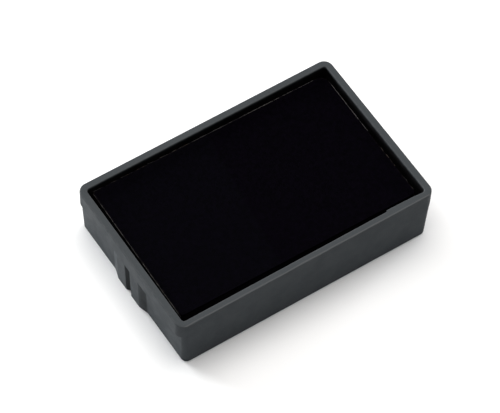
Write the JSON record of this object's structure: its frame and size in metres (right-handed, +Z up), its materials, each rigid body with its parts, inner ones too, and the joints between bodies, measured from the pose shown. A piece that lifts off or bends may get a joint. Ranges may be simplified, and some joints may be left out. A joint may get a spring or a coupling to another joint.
{
  "type": "ink pad cassette",
  "caption": "Open rectangular moulded tray holding a flat ink-soaked felt and cloth pad, with lipped, grooved short ends to grip and a ribbed hollow underneath.",
  "frame": {"origin": "centre of the base, on the surface that the tray stands on", "axes": "+X along the long side, +Y across the short side, +Z up out of the ink face"},
  "size_m": [0.0582, 0.0376, 0.0133],
  "materials": {
    "tray_plastic": "fine spark-eroded texture, dark grey",
    "adhesive_film": "clear amber adhesive film",
    "inked_felt": "dense felt soaked with black ink",
    "inked_cloth": "fine plain weave soaked with black ink"
  },
  "bodies": {
    "root": {"cassette_tray": "tray_plastic", "pad_bond": "adhesive_film", "felt_core": "inked_felt", "cover_cloth": "inked_cloth"}
  },
  "joints": []
}
